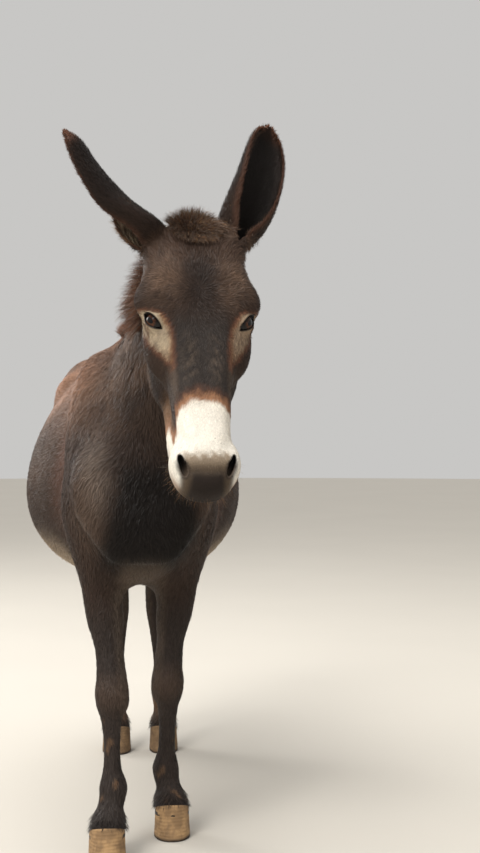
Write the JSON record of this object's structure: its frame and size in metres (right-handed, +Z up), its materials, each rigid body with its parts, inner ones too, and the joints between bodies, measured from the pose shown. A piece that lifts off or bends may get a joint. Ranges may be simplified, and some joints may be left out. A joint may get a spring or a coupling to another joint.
{
  "type": "donkey",
  "caption": "Life-size standing donkey with a dark coat and pale muzzle, ears apart, one fore leg set a little ahead, as a still museum-like model.",
  "frame": {"origin": "middle of the model's box at floor level, on the plane of the four soles", "axes": "+Z up, -Y the way the animal faces, +X the animal's left"},
  "size_m": [0.5412, 1.7222, 1.4863],
  "materials": {
    "coat": "short dense hair, very dark brown with a red-brown back, a white muzzle, pale eye patches and a pale belly",
    "mane": "coarse standing hair, dark brown with faded red-brown tips",
    "eye": "wet and glossy, dark brown with a level oval pupil",
    "hoof": "dry dusty horn, tan with darker rims"
  },
  "bodies": {
    "root": {"ear_left": "coat", "ear_right": "coat", "eye_left": "eye", "eye_right": "eye", "fore_hoof_left": "hoof", "fore_hoof_right": "hoof", "fore_lower_leg_left": "coat", "fore_lower_leg_right": "coat", "fore_upper_leg_left": "coat", "fore_upper_leg_right": "coat", "forelock": "mane", "head": "coat", "hind_hoof_left": "hoof", "hind_hoof_right": "hoof", "hind_lower_leg_left": "coat", "hind_lower_leg_right": "coat", "hind_upper_leg_left": "coat", "hind_upper_leg_right": "coat", "jaw": "coat", "mane": "mane", "neck": "coat", "tail": "coat", "tail_tuft": "mane", "trunk": "coat"}
  },
  "joints": []
}
